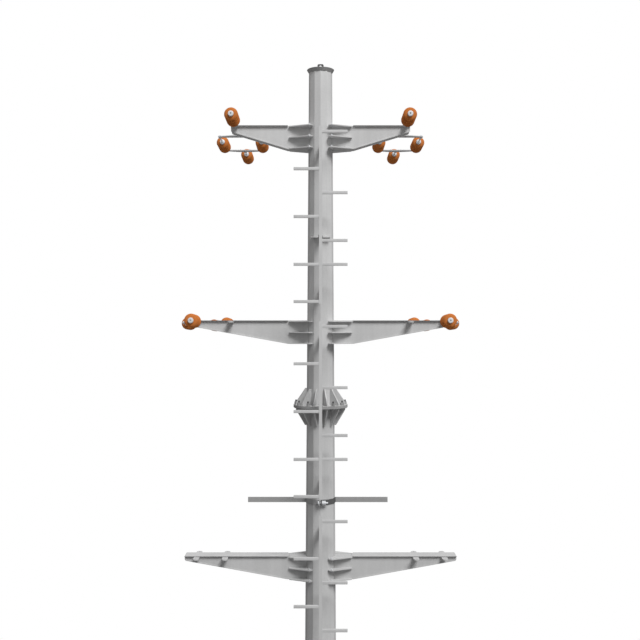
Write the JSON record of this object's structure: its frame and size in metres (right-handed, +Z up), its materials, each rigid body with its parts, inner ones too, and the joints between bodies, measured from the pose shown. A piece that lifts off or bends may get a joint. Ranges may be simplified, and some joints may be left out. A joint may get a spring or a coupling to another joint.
{
  "type": "steel distribution pole",
  "caption": "Tapered faceted steel distribution pole in bolted flanged sections, with box cross-arms, disc insulator strings, a peg ladder, hoop bars and a base flange.",
  "frame": {"origin": "centre of the base flange's underside, where the pole stands on its foundation", "axes": "+Z up the shaft, +X along the arms to the right as seen from the ladder side, -Y towards the ladder"},
  "size_m": [5.978, 4.315, 21.133],
  "materials": {
    "galvanised_steel": "Hot-dip galvanised steel with a fine grey speckle",
    "weathered_steel": "Darker galvanised steel, weathered to an even mid grey",
    "bright_fittings": "Bright galvanised forgings and plates",
    "brown_glaze": "Glossy red-brown glaze"
  },
  "bodies": {
    "root": {"shaft_top_section": "galvanised_steel", "shaft_middle_section": "galvanised_steel", "shaft_bottom_section": "galvanised_steel", "top_cap": "weathered_steel", "lifting_eye": "weathered_steel", "upper_joint_top_flange": "galvanised_steel", "upper_joint_bottom_flange": "galvanised_steel", "lower_joint_top_flange": "galvanised_steel", "lower_joint_bottom_flange": "galvanised_steel", "base_flange": "galvanised_steel", "upper_arm_right": "galvanised_steel", "upper_arm_left": "galvanised_steel", "middle_arm_right": "galvanised_steel", "middle_arm_left": "galvanised_steel", "lower_arm_right": "galvanised_steel", "lower_arm_left": "galvanised_steel", "upper_line_lugs": "galvanised_steel", "middle_line_lugs": "galvanised_steel", "lower_line_lugs": "galvanised_steel", "upper_insulator_discs_right": "brown_glaze", "upper_insulator_discs_left": "brown_glaze", "middle_insulator_discs_right": "brown_glaze", "middle_insulator_discs_left": "brown_glaze", "upper_string_fittings_right": "bright_fittings", "upper_string_fittings_left": "bright_fittings", "middle_string_fittings_right": "bright_fittings", "middle_string_fittings_left": "bright_fittings", "upper_yoke_plates_right": "bright_fittings", "upper_yoke_plates_left": "bright_fittings", "middle_yoke_plates_right": "bright_fittings", "middle_yoke_plates_left": "bright_fittings", "ladder_rails": "galvanised_steel", "ladder_pegs_right": "galvanised_steel", "ladder_pegs_left": "galvanised_steel", "rail_stays": "galvanised_steel", "rail_bracket": "galvanised_steel", "hoop_right_half": "weathered_steel", "hoop_left_half": "weathered_steel", "crossbar_right": "weathered_steel", "crossbar_left": "weathered_steel"}
  },
  "joints": []
}
